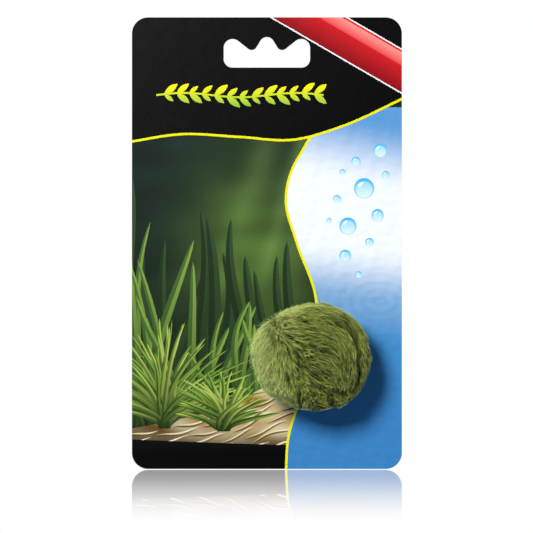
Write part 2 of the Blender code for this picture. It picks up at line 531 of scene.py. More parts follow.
def turned_faces(rows: int, columns: int, poles: int) -> tuple[Array, Array]:
    """The faces over a turned surface: quads between its rows, and a fan round one pole or both.

    Args:
        rows: Number of rows of points between the poles.
        columns: Points in each row, which closes on itself.
        poles: How many poles the surface has, 1 or 2, whose points come after all the rows.

    Returns:
        The faces' corners, one face after another, and their sizes.
    """
    row, column = np.meshgrid(np.arange(rows - 1), np.arange(columns), indexing="ij")
    here = row * columns + column
    beside = row * columns + (column + 1) % columns
    quads = np.stack([here, here + columns, beside + columns, beside], -1)
    around = np.arange(columns)
    after = (around + 1) % columns
    last, pole = (rows - 1) * columns, rows * columns
    first_fan = np.stack([around, after, np.full(columns, pole)], -1)
    last_fan = np.stack([last + after, last + around, np.full(columns, pole + 1)], -1)
    corners = np.concatenate([quads.ravel(), first_fan.ravel(), last_fan.ravel()][: 1 + poles])
    return corners, np.repeat([4, 3], [quads.size // 4, poles * columns])


def belt(discs: Sequence[Triple], step: float = math.radians(4)) -> Array:
    """The closed outline of a belt that runs counter-clockwise round discs.

    Each straight run is the tangent of two neighbours. Its heading is that of the line of centres, turned
    by the angle whose sine is the difference of radii over the distance. A disc of negative radius is
    passed on its other side, so that the belt bends inwards there.

    Args:
        discs: Each disc's centre (x, y) and radius.
        step: The turn from point to point round a disc.

    Returns:
        The outline's points, one row each.
    """
    disc = np.array(discs, float)
    following = np.roll(disc, -1, axis=0)
    gap = following[:, :2] - disc[:, :2]
    heading = np.arctan2(gap[:, 1], gap[:, 0])
    heading += np.arcsin((disc[:, 2] - following[:, 2]) / np.hypot(gap[:, 0], gap[:, 1]))
    arcs = []
    for (x, y, r), start, end in zip(disc, np.roll(heading, 1), heading):
        turn = (end - start) % math.tau - (math.tau if r < 0 else 0)
        turns = start + np.linspace(0, turn, max(2, math.ceil(abs(turn) / step) + 1))
        arcs.append(np.stack([x + r * np.sin(turns), y - r * np.cos(turns)], -1))
    return np.concatenate(arcs)


def refined(outline: Array, step: float) -> Array:
    """Add points evenly along every run of a closed outline that is longer than a step.

    Args:
        outline: The outline's points.
        step: The longest run that stays whole.

    Returns:
        The finer outline's points.
    """
    run = np.roll(outline, -1, axis=0) - outline
    parts = np.maximum(1, np.ceil(np.linalg.norm(run, axis=1) / step)).astype(int)
    number = np.arange(parts.sum()) - np.repeat(np.cumsum(parts) - parts, parts)
    share = np.repeat(run / parts[:, None], parts, axis=0)
    return np.repeat(outline, parts, axis=0) + share * number[:, None]


@dataclass(frozen=True)
class Ink:
    """A printed colour that runs evenly from one hex value to another between two places on the card.

    A flat ink has one colour for both.
    """

    start_colour: str
    end_colour: str = ""
    start: Pair = (0.0, 0.0)
    end: Pair = (0.0, 1.0)

    def colour(self, place: Array) -> Array:
        """Mix the ink by the share of the way from start to end.

        Args:
            place: Places (u, v), one row each.

        Returns:
            The linear colour at each.
        """
        first = linear(self.start_colour)
        last = linear(self.end_colour or self.start_colour)
        way = np.subtract(self.end, self.start)
        share = np.clip((place - self.start) @ way / (way @ way), 0, 1)[:, None]
        return first * (1 - share) + last * share


@dataclass(frozen=True)
class ArtShape:
    """A shape of the artwork: its closed outline in (u, v), and the ink that fills it."""

    outline: Array
    colour: Callable[[Array], Array]


@dataclass(frozen=True)
class LeafRow:
    """A row of ribbon leaves in the bed. Where a measure is a pair, chance picks from the range.

    Attributes:
        roots: The first and the last leaf's place across the card, and how many leaves the row has.
        scatter: How far a root strays to either side.
        foot: The row's place up the card.
        height: A leaf's height.
        shrink: What its height loses for each millimetre to the right: a share of it, and a length.
        lean: How far its tip stands to the side.
        width: Its full width.
        tones: The hex colours of its foot, its light side's tip and its dark side's tip.
    """

    roots: tuple[float, float, int]
    scatter: float
    foot: float
    height: Pair
    shrink: Pair
    lean: Pair
    width: Pair
    tones: tuple[str, str, str]


@dataclass
class UnderwaterArtwork:
    """A generic underwater garden for the card's face, drawn in layers from back to front.

    Dark green water with a bed of leaves stands left of a swung yellow line, and open sunlit water right of
    it. A black header with a sprig of leaves and a red corner band lie over them.
    """

    width: float
    height: float
    bleed: float = 2.0
    line_width: float = 0.9
    line_colour: str = "#F2E90C"
    shapes: list[ArtShape] = field(default_factory=list)

    # The places (u, v) that the two yellow lines are drawn through.
    divider_knots: tuple[Pair, ...] = (
        (57, -2), (58, 12), (63, 28), (68, 46), (68, 64),
        (61, 84), (57, 100), (62, 116), (75, 130), (84, 134),
    )
    header_knots: tuple[Pair, ...] = ((-2, 121), (18, 124), (40, 123), (60, 122), (78, 127), (102, 138))

    # The dark water: its glow's place and half widths, and each light shaft's foot, lean, half width and
    # strength.
    glow_place: Pair = (44, 80)
    glow_size: Pair = (20, 30)
    shafts: tuple[tuple[float, float, float, float], ...] = (
        (18, 0.35, 5, 0.10), (36, 0.30, 3, 0.14), (50, 0.22, 6, 0.08),
    )

    # The sunlit water: its colour at the foot, and for each band above where it starts and is full, how far
    # its edge falls to the right, and its colour; then the rings' middle, spacing and reach.
    open_foot: str = "#3A82BE"
    open_bands: tuple[tuple[float, float, float, str], ...] = (
        (14, 44, 0.10, "#3F8BC7"), (46, 66, 0.10, "#7FACD8"),
        (62, 84, 0.10, "#F4F8FC"), (104, 132, 0.20, "#5C9AD2"),
    )
    rings_place: Pair = (92, 62)
    rings_spacing: float = 4.5
    rings_reach: float = 22

    # The bed: the far leaves, faint and broad, and the near ones, bright and slender; and each tuft's place
    # across and up the card, its longest leaf, how many it has, and what fixes their spread.
    leaf_seed: int = 5
    leaf_sway: float = 3
    leaf_rows: tuple[LeafRow, ...] = (
        LeafRow(
            (-4, 60, 15), 2.0, 14, (58, 100), (0.0, 0.35), (-12, 16), (3.6, 5.4),
            ("#14200F", "#34502A", "#22371F"),
        ),
        LeafRow(
            (-2, 55, 21), 1.5, 13, (30, 78), (0.006, 0.0), (-16, 18), (2.4, 3.8),
            ("#1D3010", "#86A544", "#4A7030"),
        ),
    )
    tufts: tuple[tuple[float, float, float, int, int], ...] = ((12, 15, 42, 64, 8), (34, 14, 26, 40, 9))
    tuft_fan: float = 70
    tuft_tones: tuple[tuple[str, str], ...] = (("#C3D363", "#6E8F33"), ("#8FB045", "#466826"))

    # The sand's ripples: the first and the last row's depth and their spacing; then how far apart a row's
    # strokes start, and their length and width.
    ripple_seed: int = 17
    ripple_rows: Triple = (2.2, 26, 1.9)
    ripple_spacing: float = 17.0
    ripple_length: Pair = (11, 18)
    ripple_width: float = 0.75

    # The bubbles' places across and up the card, and their radii.
    bubbles: tuple[Triple, ...] = (
        (84, 72, 1.2), (79, 79, 2.2), (88, 84, 1.6), (80, 90, 3.2), (91, 94, 2.3), (76, 100, 1.5),
        (86, 104, 3.8), (94, 109, 1.4), (78, 110, 1.1), (83, 114, 1.7), (92, 118, 2.6), (73, 92, 1.0),
    )

    # The header's sprig: where its stem begins and ends across the card, and its place up the card; then
    # the length of a leaf, how many pairs there are, and their angle to the stem.
    sprig_reach: Pair = (9, 71)
    sprig_height: float = 138.5
    sprig_leaf: float = 6.4
    sprig_pairs: int = 13
    sprig_angle: float = 38

    # The corner band: the way it runs, and the near and the far side of each strip inwards from the corner,
    # its two colours, and where they are full.
    band_way: Pair = (0.62, -0.36)
    band_strips: tuple[tuple[float, float, str, str, float, float], ...] = (
        (10.0, 24.6, "#F4F4F2", "#F4F4F2", 24, 12),
        (10.5, 24.1, "#8E0A12", "#E4202A", 24, 12),
        (11.2, 15.5, "#E8303A", "#FF9A90", 16, 11),
    )

    def smooth_line(self, knots: Sequence[Pair], along: int, spacing: float = 1.2) -> Array:
        """A smooth curve through knots: cubic Hermite pieces, with each knot's slope from its neighbours.

        Args:
            knots: The places (u, v), in rising order of the coordinate that is run along.
            along: 0 where the curve is a function of u, 1 where it is one of v.
            spacing: The step along that coordinate.

        Returns:
            The curve's points.
        """
        knot = np.array(knots, float)
        t, x = knot[:, along], knot[:, 1 - along]
        slope = np.gradient(x, t)
        at = np.linspace(t[0], t[-1], int((t[-1] - t[0]) / spacing) + 1)
        k = np.clip(np.searchsorted(t, at, side="right") - 1, 0, len(t) - 2)
        step = t[k + 1] - t[k]
        s = (at - t[k]) / step
        value = (
            (1 + 2 * s) * (1 - s) ** 2 * x[k]
            + s * (1 - s) ** 2 * step * slope[k]
            + s * s * (3 - 2 * s) * x[k + 1]
            - s * s * (1 - s) * step * slope[k + 1]
        )
        return np.stack([value, at] if along else [at, value], -1)

    def stripe(self, line: Array, width: float | Array) -> Array:
        """Give a line its width: the line moved half the width to each side.

        Args:
            line: The line's points.
            width: Its width, even or given at each point.

        Returns:
            The closed outline.
        """
        way = unit(np.gradient(line, axis=0))
        side = np.stack([-way[:, 1], way[:, 0]], -1) * np.reshape(width, (-1, 1)) / 2
        return np.concatenate([line + side, (line - side)[::-1]])

    def add(self, outline: Array, colour: Callable[[Array], Array]) -> None:
        """Lay a shape over those before it, with its outline turned to run counter-clockwise.

        Args:
            outline: The shape's outline.
            colour: The colour that fills it, as a function of places.
        """
        after = np.roll(outline, -1, axis=0)
        area = (outline[:, 0] * after[:, 1] - after[:, 0] * outline[:, 1]).sum()
        self.shapes.append(ArtShape(outline if area > 0 else outline[::-1], colour))

    def deep_water(self, place: Array) -> Array:
        """Colour the dark water: near black above, with a green glow in the middle and slanting shafts.

        The glow is a bell curve of the place. A shaft of light is a bell curve of the distance across a
        slanted line, and it fades towards the bed.

        Args:
            place: Places (u, v), one row each.

        Returns:
            The linear colour at each.
        """
        u, v = place.T
        lit = ease(v, 10, 120)[:, None]
        colour = linear("#1A2A16") * (1 - lit) + linear("#16251F") * lit
        (glow_u, glow_v), (across_u, across_v) = self.glow_place, self.glow_size
        glow = np.exp(-(((u - glow_u) / across_u) ** 2) - ((v - glow_v) / across_v) ** 2)[:, None]
        colour = colour * (1 - glow) + linear("#4E6A2E") * glow
        for foot, lean, spread, strength in self.shafts:
            across = u - foot - lean * (v - 30)
            beam = strength * np.exp(-((across / spread) ** 2)) * ease(v, 25, 110)
            colour = colour + beam[:, None] * linear("#9FC06A")
        cloud = waves(place * (0.5, 1.0), 16, 3)[:, None]
        return np.clip(colour * (1 + 0.22 * cloud), 0, 1)

    def open_water(self, place: Array) -> Array:
        """Colour the sunlit water: pale blue under the header, white in the middle, deep blue at the foot.

        Faint rings spread from a place above the ball, as a cosine of the distance from it.

        Args:
            place: Places (u, v), one row each.

        Returns:
            The linear colour at each.
        """
        u, v = place.T
        colour = np.tile(linear(self.open_foot), (len(u), 1))
        for low, high, slant, tone in self.open_bands:
            share = ease(v + slant * (u - 80), low, high)[:, None]
            colour = colour * (1 - share) + linear(tone) * share
        ring_u, ring_v = self.rings_place
        reach = np.hypot(u - ring_u, (v - ring_v) * 1.6)
        faded = np.exp(-((reach / self.rings_reach) ** 2))
        rings = 0.06 * np.cos(reach * math.tau / self.rings_spacing) * faded
        drift = 0.05 * waves(place * (1.0, 2.2), 7, 11)
        return np.clip(colour * (1 + (rings + drift)[:, None]), 0, 1)

    def sand(self, place: Array) -> Array:
        """Colour the sand: soft dunes, cream in the middle of the card, brown to the left and at the foot.

        Args:
            place: Places (u, v), one row each.

        Returns:
            The linear colour at each.
        """
        u, v = place.T
        lit = (0.25 + 0.75 * ease(u, -5, 42)) * (0.15 + 0.85 * ease(v, 7, 17))
        dune = (0.5 + 0.5 * waves(place * (0.6, 1.6), 11, 21))[:, None]
        tone = linear("#A98449") * (1 - dune) + linear("#E3D3A4") * dune
        return np.clip(tone * lit[:, None], 0, 1)

    def sand_top(self, u: Array) -> Array:
        """The height of the sand's top: a slow rise to the right under a small wave."""
        return 15 + 1.6 * np.sin(u / 8) + 18 * ease(u, 5, 62)

    def sand_ripples(self) -> None:
        """Lay the ripples: tapering strokes that follow the sand's rise, a dark hollow under a pale crest.

        A stroke lies its row's depth under the sand's top, and waves as a sine of its place across the
        card. Its width is half a sine of the share of its length.
        """
        chance = np.random.default_rng(self.ripple_seed)
        for depth in np.arange(*self.ripple_rows):
            for start in np.arange(chance.uniform(-14, 0), 70, self.ripple_spacing):
                u = np.linspace(start, start + chance.uniform(*self.ripple_length), 22)
                v = self.sand_top(u) * (1 - 0.012 * depth) - depth + 0.5 * np.sin(u / 2.6 + depth)
                width = self.ripple_width * np.sin(np.linspace(0, math.pi, len(u))) + 0.02
                line = np.stack([u, v], -1)
                reach = (start, 0.0), (start + 15, 0.0)
                for rise, share, dark, pale in (
                    (-0.4, 1.0, "#4A3315", "#8A6A38"),
                    (0.2, 0.8, "#C9AE73", "#FBF3DA"),
                ):
                    self.add(self.stripe(line + (0, rise), share * width), Ink(dark, pale, *reach).colour)

    def blade(
        self,
        root: Pair,
        height: float,
        lean: float,
        sway: float,
        width: float,
        tones: tuple[str, str, str],
    ) -> None:
        """Lay one ribbon leaf: a light half and a dark half on either side of its midrib.

        The midrib rises from the root, leans as the square of its share of the height and sways as a sine.
        The width swells to full at a fifth of the way and narrows as a root of what is left.

        Args:
            root: Where it leaves the bed, (u, v).
            height: Its height.
            lean: How far its tip stands to the side.
            sway: The reach of its S-bend.
            width: Its full width.
            tones: The hex colours of its foot, its light side's tip and its dark side's tip.
        """
        t = np.linspace(0, 1, 26)
        across = root[0] + lean * t * t + sway * np.sin(t * math.tau * 0.9)
        rib = np.stack([across, root[1] + height * t], -1)
        way = unit(np.gradient(rib, axis=0))
        side = np.stack([way[:, 1], -way[:, 0]], -1)
        half = (width / 2 * np.minimum(1, 0.45 + 2.75 * t) * np.sqrt(np.clip(1 - t**3, 0, 1)))[:, None]
        foot, light, dark = tones
        tip = (root[0] + lean, root[1] + height)
        self.add(np.concatenate([rib, (rib + side * half)[::-1]]), Ink(foot, light, root, tip).colour)
        self.add(np.concatenate([rib, (rib - side * half)[::-1]]), Ink(foot, dark, root, tip).colour)

    def leaf_beds(self) -> None:
        """Lay the rows of ribbon leaves, the far one first."""
        chance = np.random.default_rng(self.leaf_seed)
        for row in self.leaf_rows:
            share, length = row.shrink
            for root in np.linspace(*row.roots):
                self.blade(
                    (root + chance.uniform(-row.scatter, row.scatter), row.foot),
                    chance.uniform(*row.height) * (1 - share * root) - length * root,
                    chance.uniform(*row.lean),
                    chance.uniform(-self.leaf_sway, self.leaf_sway),
                    chance.uniform(*row.width),
                    row.tones,
                )

    def tuft(self, middle: float, foot: float, reach: float, count: int, seed: int) -> None:
        """Lay a round tuft of fine leaves that fan out from one place.

        Args:
            middle: Its place across the card.
            foot: Its place up the card.
            reach: Its longest leaf.
            count: How many leaves it has.
            seed: Fixes their spread.
        """
        chance = np.random.default_rng(seed)
        pale, green = self.tuft_tones
        for angle in chance.permutation(np.linspace(-self.tuft_fan, self.tuft_fan, count)):
            length = reach * chance.uniform(0.55, 1.0)
            turn = math.radians(angle)
            self.blade(
                (middle + chance.uniform(-2, 2), foot),
                length * math.cos(turn),
                length * math.sin(turn),
                chance.uniform(-1.2, 1.2),
                chance.uniform(1.3, 2.0),
                ("#1E3010", *(pale if chance.random() < 0.5 else green)),
            )

    def bubble(self, u: float, v: float, radius: float) -> None:
        """Lay a bubble: a cyan disc, a paler disc set low inside it and a white glint.

        Args:
            u: Its place across the card.
            v: Its place up the card.
            radius: Its radius.
        """
        top, foot, near = (u, v + radius), (u, v - radius), 1e-3
        low, small = v - 0.12 * radius, 0.8 * radius
        ring = belt([(u, v, radius), (u + near, v, radius)], math.radians(12))
        inner = belt([(u, low, small), (u + near, low, small)], 0.2)
        glint = belt([
            (u - 0.45 * radius, v + 0.28 * radius, 0.14 * radius),
            (u - 0.2 * radius, v + 0.5 * radius, 0.12 * radius),
        ], 0.3)
        self.add(ring, Ink("#3DB8EA", "#A6E2F8", top, foot).colour)
        self.add(inner, Ink("#7FD4F4", "#EAF9FE", top, foot).colour)
        self.add(glint, Ink("#FFFFFF").colour)

    def sprig(self) -> None:
        """Lay the header's sprig: leaf pairs along a waving stem, yellow above and green below.

        A leaf's half width is a sine of the share of its length, raised to 0.8 so that its ends are full.
        """
        (start, end), height, leaf = self.sprig_reach, self.sprig_height, self.sprig_leaf
        tint = Ink("#8CC63F", "#FFF200", (0, height - 0.62 * leaf), (0, height + 0.62 * leaf)).colour
        across = np.linspace(start, end, 60)
        rise = height + 0.8 * np.sin((across - start) / 62 * math.tau * 1.5)
        self.add(self.stripe(np.stack([across, rise], -1), 0.7), tint)
        t = np.linspace(0, 1, 15)
        for k, u in enumerate(np.linspace(start + 3.0, end - 3.5, self.sprig_pairs)):
            foot = np.array([u, np.interp(u, across, rise)])
            for side in (1, -1):
                angle = math.radians(self.sprig_angle * side)
                way = np.array([math.cos(angle), math.sin(angle)])
                over = np.array([-way[1], way[0]])
                size = leaf * (0.82 + 0.18 * math.sin(k * 1.7 + side))
                half = (0.19 * size * np.sin(math.pi * t) ** 0.8)[:, None]
                spine = foot + way * (size * t[:, None])
                self.add(np.concatenate([spine + over * half, (spine - over * half)[-2:0:-1]]), tint)

    def corner_band(self) -> None:
        """Lay the red band across the upper right corner, between two white hairlines."""
        corner = np.array([self.width, self.height])
        way = unit(np.array(self.band_way))
        inwards = np.array([way[1], -way[0]])
        run = way * 60
        for near, far, deep, pale, deep_at, pale_at in self.band_strips:
            ink = Ink(deep, pale, tuple(corner + inwards * deep_at), tuple(corner + inwards * pale_at))
            top, foot = corner + inwards * near, corner + inwards * far
            self.add(np.array([top - run, top + run, foot + run, foot - run]), ink.colour)

    def draw(self) -> list[ArtShape]:
        """Lay every layer.

        Returns:
            The shapes, back to front.
        """
        out, right, top = -self.bleed, self.width + self.bleed, self.height + self.bleed
        divider = self.smooth_line(self.divider_knots, 1)
        header = self.smooth_line(self.header_knots, 0)
        bed = np.linspace(out, right, 60)
        sand = np.concatenate([np.stack([bed, self.sand_top(bed)], -1), [(right, out), (out, out)]])
        foot = [(out, out), (right, out), (right, 7.5), (70, 8.5), (35, 9.5), (out, 11)]
        line = Ink(self.line_colour).colour
        self.add(np.array([(out, out), (right, out), (right, top), (out, top)]), self.deep_water)
        self.leaf_beds()
        self.add(sand, self.sand)
        self.sand_ripples()
        for tuft in self.tufts:
            self.tuft(*tuft)
        self.add(np.array(foot), Ink("#000000", "#070806", (0, 6), (0, 11)).colour)
        self.add(np.concatenate([divider, [(right, divider[-1, 1]), (right, out)]]), self.open_water)
        self.add(self.stripe(divider, self.line_width), line)
        for bubble in self.bubbles:
            self.bubble(*bubble)
        self.add(np.concatenate([header, [(right, top), (out, top)]]), Ink("#000000").colour)
        self.add(self.stripe(header, self.line_width), line)
        self.sprig()
        self.corner_band()
        return self.shapes


@dataclass
class DisplayCard:
    """The printed card: one closed sheet of board with its artwork, its cut edges and its plain back."""

    width: float = 100.0
    height: float = 167.3
    corner: float = 6.0
    peg_to_top: float = 7.3
    slot_half_width: float = 16.0
    slot_height: float = 11.3
    slot_foot_radius: float = 3.2
    lobe_radius: float = 3.3
    lobe_top: float = 10.6
    notch_radius: float = 2.8
    tongue_radius: float = 2.1
    tongue_offset: float = 5.65
    tongue_tip: float = 6.5
    ink_spacing: float = 1.3
    merge: float = 1e-4

    def card_outline(self) -> Array:
        """The rounded rectangle, counter-clockwise."""
        r, w, h = self.corner, self.width, self.height
        return belt([(r, r, r), (w - r, r, r), (w - r, h - r, r), (r, h - r, r)])

    def slot_outline(self) -> Array:
        """Run a belt round the peg slot's corners, lobes, tongues and notch.

        Returns:
            The outline, symmetrical about the card's middle, counter-clockwise.
        """
        u, v = self.width / 2, self.height - self.peg_to_top - self.slot_height
        foot = self.slot_foot_radius
        corner = (self.slot_half_width - foot, foot, foot)
        lobe = (self.slot_half_width - self.lobe_radius, self.lobe_top - self.lobe_radius, self.lobe_radius)
        tongue = (self.tongue_offset, self.tongue_tip + self.tongue_radius, -self.tongue_radius)
        notch = (0.0, self.slot_height - self.notch_radius, self.notch_radius)
        right = [corner, lobe, tongue]
        left = [(-x, y, r) for x, y, r in reversed(right)]
        return belt([(u + x, v + y, r) for x, y, r in (*right, notch, *left)])

    def fill(self, outlines: Sequence[Array], loose: Array) -> tuple[Array, Array, list[list[int]], Array]:
        """Triangulate a set of outlines.

        Args:
            outlines: Closed outlines, counter-clockwise; the first is the card and the second its slot.
            loose: Further points to use.

        Returns:
            The points, the triangles on the card and clear of the slot, the outlines that hold each, and
            the number of the given point that each point was, or -1 for a new one.
        """
        starts = np.cumsum([0, *(len(o) for o in outlines)])
        loops = [list(range(a, b)) for a, b in zip(starts[:-1], starts[1:])]
        spots = [Vector(p) for p in np.concatenate([*outlines, loose])]
        found = delaunay_2d_cdt(spots, [], loops, 0, self.merge, True)
        kept = [(face, over) for face, over in zip(found[2], found[5]) if 0 in over and 1 not in over]
        used, triangles = np.unique(np.array([face for face, _ in kept]), return_inverse=True)
        points = np.array([tuple(p) for p in found[0]])[used]
        source = np.array([min(given, default=-1) for given in found[3]])[used]
        return points, triangles.reshape(-1, 3), [over for _, over in kept], source

    def ink_grid(self) -> Array:
        """Set points in staggered rows over the card, which let the inks' colours run smoothly.

        Returns:
            The points (u, v).
        """
        step = self.ink_spacing
        rows = np.arange(step, self.height - step / 2, step * math.sqrt(3) / 2)
        columns = np.arange(step, self.width - step, step)
        v, u = np.meshgrid(rows, columns, indexing="ij")
        u = u + (np.arange(len(rows)) % 2)[:, None] * step / 2
        return np.stack([u.ravel(), v.ravel()], -1)

    def place(self, spots: Array, y: float) -> Array:
        """Turn places on the card into points of the frame.

        Args:
            spots: The places (u, v) in millimetres.
            y: Their depth in metres.

        Returns:
            The points in metres.
        """
        x = (spots[:, 0] - self.width / 2) * MM
        z = (spots[:, 1] - self.height + self.peg_to_top) * MM
        return np.stack([x, np.full(len(x), y), z], -1)

    def build(self) -> Object:
        """Make the sheet: the printed front, the same outline filled for the back, and the cut edges.

        Returns:
            The card, which stands for the solid of the same name.
        """
        low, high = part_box("card")
        border = [refined(line, self.ink_spacing) for line in (self.card_outline(), self.slot_outline())]
        shapes = UnderwaterArtwork(self.width, self.height).draw()
        spots, front, inside, _ = self.fill([*border, *(s.outline for s in shapes)], self.ink_grid())
        rim = self.rim(front, len(spots))
        numbers = self.rim_outlines(spots, rim)
        back_spots, back, _, source = self.fill([spots[n] for n in numbers], np.empty((0, 2)))
        behind = np.full(len(spots), -1)
        behind[np.concatenate(numbers)[source]] = len(spots) + np.arange(len(back_spots))
        walls = np.stack([rim[:, 1], rim[:, 0], behind[rim[:, 0]], behind[rim[:, 1]]], -1)
        points = np.concatenate([self.place(spots, low.y), self.place(back_spots, high.y)])
        corners = np.concatenate([front.ravel(), (len(spots) + back[:, ::-1]).ravel(), walls.ravel()])
        counts = [len(front), len(back), len(walls)]
        finishes = [
            CoatedBoardFace().material(),
            BareBoard("white_lined_back", "#DCD8CE", "#B9B1A1").material(),
            BareBoard("cut_board_edge", "#DAD5C8", "#A39A88").material(),
        ]
        sizes = np.repeat([3, 3, 4], counts)
        made = new_piece("printed_card", points, corners, sizes, finishes, "printed_card", smooth=False)
        made.data.polygons.foreach_set("material_index", np.repeat([0, 1, 2], counts).astype(np.int32))
        self.print_ink(made, spots, front, inside, shapes)
        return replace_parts(made, "card")

    def rim(self, triangles: Array, count: int) -> Array:
        """The sides that belong to one triangle only, each with the card on its left.

        Args:
            triangles: The triangles.
            count: How many points they use.

        Returns:
            The two point numbers of each side.
        """
        sides = np.concatenate([triangles[:, [0, 1]], triangles[:, [1, 2]], triangles[:, [2, 0]]])
        key = sides.min(1) * count + sides.max(1)
        _, index, uses = np.unique(key, return_index=True, return_counts=True)
        return sides[index[uses == 1]]

    def rim_outlines(self, spots: Array, rim: Array) -> list[list[int]]:
        """Join the rim's sides into its closed outlines.

        Args:
            spots: The points.
            rim: The rim's sides.

        Returns:
            The point numbers round the card and then round the slot, both counter-clockwise.
        """
        following = dict(rim.tolist())
        outlines = []
        while following:
            outline = [next(iter(following))]
            while outline[-1] in following:
                outline.append(following.pop(outline[-1]))
            outlines.append(outline[:-1])
        outer, slot = sorted(outlines, key=lambda o: -np.ptp(spots[o, 1]))
        return [outer, slot[::-1]]

    def print_ink(
        self,
        card: Object,
        spots: Array,
        front: Array,
        inside: list[list[int]],
        shapes: Sequence[ArtShape],
    ) -> None:
        """Write each face corner's ink: that of the topmost shape over the face, at the corner's place.

        Args:
            card: The card, whose first faces are the front's.
            spots: The front's points.
            front: The front's triangles.
            inside: The numbers of the outlines over each triangle.
            shapes: The artwork, whose outlines are numbered from 2.
        """
        top = np.array([max(numbers) for numbers in inside]) - 2
        inks = np.ones((len(card.data.loops), 4), np.float32)
        corner_spots = spots[front.ravel()]
        corner_top = np.repeat(top, 3)
        for number in np.unique(top):
            chosen = np.flatnonzero(corner_top == number)
            inks[chosen, :3] = shapes[number].colour(corner_spots[chosen])
        layer = card.data.color_attributes.new("ink", "FLOAT_COLOR", "CORNER")
        layer.data.foreach_set("color", inks.ravel())


@dataclass
class GlueSpot:
    """The set glue between card and ball: a low round cake with a rolled edge, a little out of round."""

    inset: float = 0.03 * MM
    rows: int = 14
    columns: int = 64
    edge_power: float = 0.35

    def build(self) -> Object:
        """Make the cake as a superellipse of its cross-section, carried round its axis.

        From the front pole to the back one, the radius is a power of the cosine of the latitude, and the
        depth is the same power of its sine. The radius waves with the angle by a few hundredths.

        Returns:
            The glue, which stands for the solid of the same name.
        """
        low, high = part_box("glue_spot")
        middle, half = np.array((low + high) / 2), np.array((high - low) / 2) - self.inset
        latitude = np.linspace(-math.pi / 2, math.pi / 2, self.rows)[:, None]
        angle = np.linspace(0, math.tau, self.columns, endpoint=False)[None, :]
        out = np.abs(np.cos(latitude)) ** self.edge_power
        wavy = 0.95 + 0.03 * np.cos(3 * angle + 1) + 0.02 * np.cos(5 * angle)
        depth = np.sign(np.sin(latitude)) * np.abs(np.sin(latitude)) ** self.edge_power
        x = middle[0] + half[0] * out * wavy * np.cos(angle)
        y = middle[1] + half[1] * depth * np.ones_like(angle)
        z = middle[2] + half[2] * out * wavy * np.sin(angle)
        grid = np.stack([x, y, z], -1)
        points = np.concatenate([grid[1:-1].reshape(-1, 3), grid[[0, -1], 0]])
        faces = turned_faces(self.rows - 2, self.columns, 2)
        made = new_piece("glue_cake", points, *faces, [HotMelt().material()], "glue")
        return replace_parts(made, "glue_spot")


@dataclass
class LatticeCore:
    """The moulded lattice ball in the cover, whose solid already has its shape."""

    node: str = "lattice_core"

    def build(self) -> Object:
        """Give the solid its moulded finish.

        Returns:
            The solid.
        """
        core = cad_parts[self.node]
        core.data.materials.clear()
        core.data.materials.append(MouldedPolypropylene().material())
        LOG.info("%s: dressed", self.node)
        return core


class Pile(Enum):
    """The layers of the pile, from the cloth outwards."""

    UNDER = "moss_underfur"
    LOWER = "moss_pile_lower"
    MIDDLE = "moss_pile_middle"
    UPPER = "moss_pile_upper"
    TOP = "moss_pile_top"
    CREST = "moss_pile_crest"
    FUZZ = "moss_fuzz"


@dataclass(frozen=True)
class PileLayer:
    """How one layer's locks are made. Lengths are in millimetres.

    Attributes:
        locks: How many locks the layer has.
        strands: How many fibres a lock has.
        rings: How many rings of points a fibre has before its tip.
        length: A lock's length along the ball.
        level: How near its tip comes to the pile's surface, as shares of the pile's depth, low and high.
        spread: A lock's half width at its root, its middle and its tip.
        thick: A fibre's thickness at its root and near its tip, several times a real one's, so as to show.
        stray: The spread of the locks' headings, in degrees.
        tone: The range of the locks' tones, where 0 is the darkest dye and 1 the palest; the deeper layers'
            lower ranges are painted shade.
        lit: How far its tips come out of the pile's painted shade, from 0 to 1.
        lift: How much higher its tips stand where the pile is brushed up, as a share of the pile's depth.
    """

    locks: int
    strands: int
    rings: int
    length: float
    level: Pair
    spread: Triple
    thick: Pair
    stray: float
    tone: Pair
    lit: float = 1.0
    lift: float = 0.0


# Every layer's measures.
LAYERS = {
    Pile.UNDER: PileLayer(
        1400, 3, 2, 3.5, (0.60, 0.82), (0.5, 0.45, 0.4), (0.26, 0.2), 30, (0.18, 0.49), 0.62
    ),
    Pile.LOWER: PileLayer(
        1000, 7, 3, 5.0, (0.70, 0.88), (0.45, 0.36, 0.14), (0.22, 0.16), 18, (0.18, 0.55), 0.74
    ),
    Pile.MIDDLE: PileLayer(
        1300, 8, 3, 5.0, (0.75, 0.93), (0.42, 0.28, 0.10), (0.17, 0.12), 18, (0.21, 0.64), 0.80
    ),
    Pile.UPPER: PileLayer(
        1770, 6, 3, 5.0, (0.76, 0.98), (0.38, 0.20, 0.06), (0.16, 0.11), 16, (0.24, 0.76), 0.90
    ),
    Pile.TOP: PileLayer(
        2480, 5, 3, 5.0, (0.80, 1.03), (0.34, 0.16, 0.05), (0.15, 0.10), 13, (0.27, 0.84), 0.97
    ),
    Pile.CREST: PileLayer(
        2480, 5, 3, 5.0, (0.84, 1.08), (0.32, 0.15, 0.05), (0.14, 0.09), 12, (0.27, 0.86)
    ),
    Pile.FUZZ: PileLayer(
        4000, 2, 2, 2.0, (1.0, 1.16), (0.4, 0.4, 0.4), (0.06, 0.045), 40, (0.36, 0.80), 1.0, 0.24
    ),
}


@dataclass(frozen=True)
class Factor:
    """A factor that changes with the state of the pile.

    Attributes:
        smooth: Its value where the pile lies smooth.
        brushed: What it gains where the pile is fully brushed up.
        ruffled: What it gains where the pile is fully ruffled.
    """

    smooth: float
    brushed: float
    ruffled: float = 0.0

    def at(self, brushed: Array, ruffled: Array | float = 0.0) -> Array:
        """The factor where the pile is brushed up and ruffled so far, each from 0 to 1."""
        return self.smooth + self.brushed * brushed + self.ruffled * ruffled


